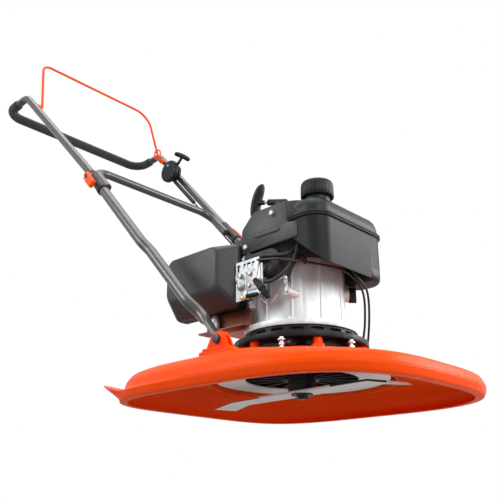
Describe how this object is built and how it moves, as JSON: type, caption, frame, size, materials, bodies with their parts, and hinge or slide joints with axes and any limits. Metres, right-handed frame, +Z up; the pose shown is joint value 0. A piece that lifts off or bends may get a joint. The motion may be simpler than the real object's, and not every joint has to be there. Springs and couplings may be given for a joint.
{
  "type": "petrol hover mower",
  "caption": "Petrol hover mower: moulded deck on an air cushion, vertical-shaft engine driving a fan and blade, tilting telescopic handle with bail.",
  "frame": {"origin": "on the blade axis, in the plane of the deck's rim, which rests on the ground", "axes": "+Z up along the crankshaft, +Y to the rear, towards the handle, +X to the operator's left"},
  "size_m": [0.61, 1.3247, 1.1456],
  "materials": {
    "deck_orange": "gloss",
    "painted_orange": "gloss",
    "lever_orange": "satin",
    "black_plastic": "satin",
    "engine_plastic": "grained satin",
    "tank_plastic": "grained satin",
    "pale_plastic": "satin",
    "sleeve_plastic": "satin",
    "filter_paper": "pleated",
    "cast_alloy": "cast",
    "zinc": "zinc plated",
    "bright_steel": "ground",
    "blade_steel": "rolled",
    "warm_metal": "heat tinted",
    "painted_black": "satin",
    "tube_metal": "metallic",
    "rubber": "matte",
    "foam": "foam",
    "cable": "satin",
    "rope": "braided"
  },
  "bodies": {
    "deck": {"deck_shell": "deck_orange", "handle_brackets": "painted_orange", "fan_duct": "deck_orange", "engine_plate": "black_plastic", "engine_bolts": "zinc", "crankcase": "cast_alloy", "main_bearings": "bright_steel", "oil_seal": "rubber", "cylinder_barrel": "cast_alloy", "cylinder_head": "cast_alloy", "valve_cover": "zinc", "spark_plug": "bright_steel", "plug_cap": "rubber", "muffler": "zinc", "muffler_guard": "painted_black", "heat_shield": "warm_metal", "exhaust_pipe": "zinc", "air_cleaner_base": "black_plastic", "air_cleaner_cover": "engine_plastic", "filter_element": "filter_paper", "carburettor": "cast_alloy", "float_bowl": "zinc", "intake_hose": "rubber", "control_bracket": "zinc", "cover_bolts": "zinc", "fuel_tank": "tank_plastic", "side_shroud": "engine_plastic", "blower_housing": "engine_plastic", "rope_guide": "black_plastic", "engine_cables": "cable", "pivot_bolts": "painted_black"},
    "rotor": {"crankshaft": "bright_steel", "flywheel": "cast_alloy", "impeller": "black_plastic", "impeller_ring": "pale_plastic", "blade": "blade_steel", "blade_bolt": "painted_black"},
    "starter_pulley": {"starter_pulley": "black_plastic"},
    "starter_pull": {"starter_grip": "rubber", "starter_rope": "rope"},
    "fuel_cap": {"fuel_cap": "black_plastic"},
    "oil_cap": {"oil_cap": "black_plastic"},
    "governor_arm": {"governor_arm": "zinc"},
    "governor_link": {"governor_link": "zinc", "governor_spring": "zinc"},
    "throttle_arm": {"throttle_arm": "zinc"},
    "lower_handle": {"lower_tube_right": "tube_metal", "lower_tube_left": "tube_metal", "clamp_sleeves": "sleeve_plastic", "cross_brace": "tube_metal", "handle_cables": "cable"},
    "lock_lever_right": {"lock_lever_right": "lever_orange"},
    "lock_lever_left": {"lock_lever_left": "lever_orange"},
    "upper_handle": {"upper_handle": "tube_metal", "foam_grip": "foam", "control_housing": "black_plastic", "cable_conduit": "cable", "bail_pivots": "lever_orange"},
    "throttle_lever": {"throttle_lever": "black_plastic"},
    "bail": {"bail": "painted_orange"}
  },
  "joints": [
    {"name": "rotor_spin", "type": "hinge", "parent": "deck", "child": "rotor", "pos_m": [0, 0, 0.2], "axis": [0, 0, 1], "continuous": true},
    {"name": "starter_slide", "type": "slide", "parent": "deck", "child": "starter_pull", "axis": [0, 0.9588, 0.284], "range_m": [0, 0.38], "stiffness_N_per_m": 25, "springref_m": -0.3},
    {"name": "starter_pulley_turn", "type": "hinge", "parent": "deck", "child": "starter_pulley", "pos_m": [0, 0, 0.405], "axis": [0, 0, 1], "range_deg": [0, 620]},
    {"name": "fuel_cap_turn", "type": "hinge", "parent": "deck", "child": "fuel_cap", "pos_m": [-0.07, -0.112, 0.42], "axis": [0, 0, 1], "range_deg": [0, 90]},
    {"name": "oil_cap_turn", "type": "hinge", "parent": "deck", "child": "oil_cap", "pos_m": [0.07454, -0.07719, 0.232], "axis": [0.6947, -0.7193, 0], "range_deg": [0, 90]},
    {"name": "governor_turn", "type": "hinge", "parent": "deck", "child": "governor_arm", "pos_m": [-0.1115, -0.056, 0.206], "axis": [1, 0, 0], "range_deg": [-8, 8], "stiffness_Nm_per_rad": 0.2},
    {"name": "governor_link_turn", "type": "hinge", "parent": "governor_arm", "child": "governor_link", "pos_m": [-0.1115, -0.056, 0.232], "axis": [1, 0, 0], "range_deg": [-9, 9]},
    {"name": "throttle_arm_turn", "type": "hinge", "parent": "deck", "child": "throttle_arm", "pos_m": [-0.1115, -0.011, 0.206], "axis": [1, 0, 0], "range_deg": [-9, 9]},
    {"name": "handle_tilt", "type": "hinge", "parent": "deck", "child": "lower_handle", "pos_m": [0, 0.022, 0.1], "axis": [1, 0, 0], "range_deg": [-20, 45]},
    {"name": "lock_right_turn", "type": "hinge", "parent": "lower_handle", "child": "lock_lever_right", "pos_m": [-0.2603, 0.47145, 0.58877], "axis": [0, 0.7361, -0.6769], "range_deg": [0, 110]},
    {"name": "lock_left_turn", "type": "hinge", "parent": "lower_handle", "child": "lock_lever_left", "pos_m": [0.2603, 0.47145, 0.58877], "axis": [0, -0.7361, 0.6769], "range_deg": [0, 110]},
    {"name": "handle_slide", "type": "slide", "parent": "lower_handle", "child": "upper_handle", "axis": [0, 0.6769, 0.7361], "range_m": [0, 0.08]},
    {"name": "throttle_turn", "type": "hinge", "parent": "upper_handle", "child": "throttle_lever", "pos_m": [0.227, 0.7273, 0.86701], "axis": [1, 0, 0], "range_deg": [-30, 35]},
    {"name": "bail_turn", "type": "hinge", "parent": "upper_handle", "child": "bail", "pos_m": [0, 0.80969, 0.94612], "axis": [-1, 0, 0], "range_deg": [0, 54], "stiffness_Nm_per_rad": 1, "springref_deg": -28.65}
  ],
  "couplings": [
    {"joint": "starter_pulley_turn", "follows": "starter_slide", "rad_per_m": 27.778},
    {"joint": "governor_link_turn", "follows": "governor_turn", "ratio": -1},
    {"joint": "throttle_arm_turn", "follows": "governor_turn", "ratio": 1}
  ]
}
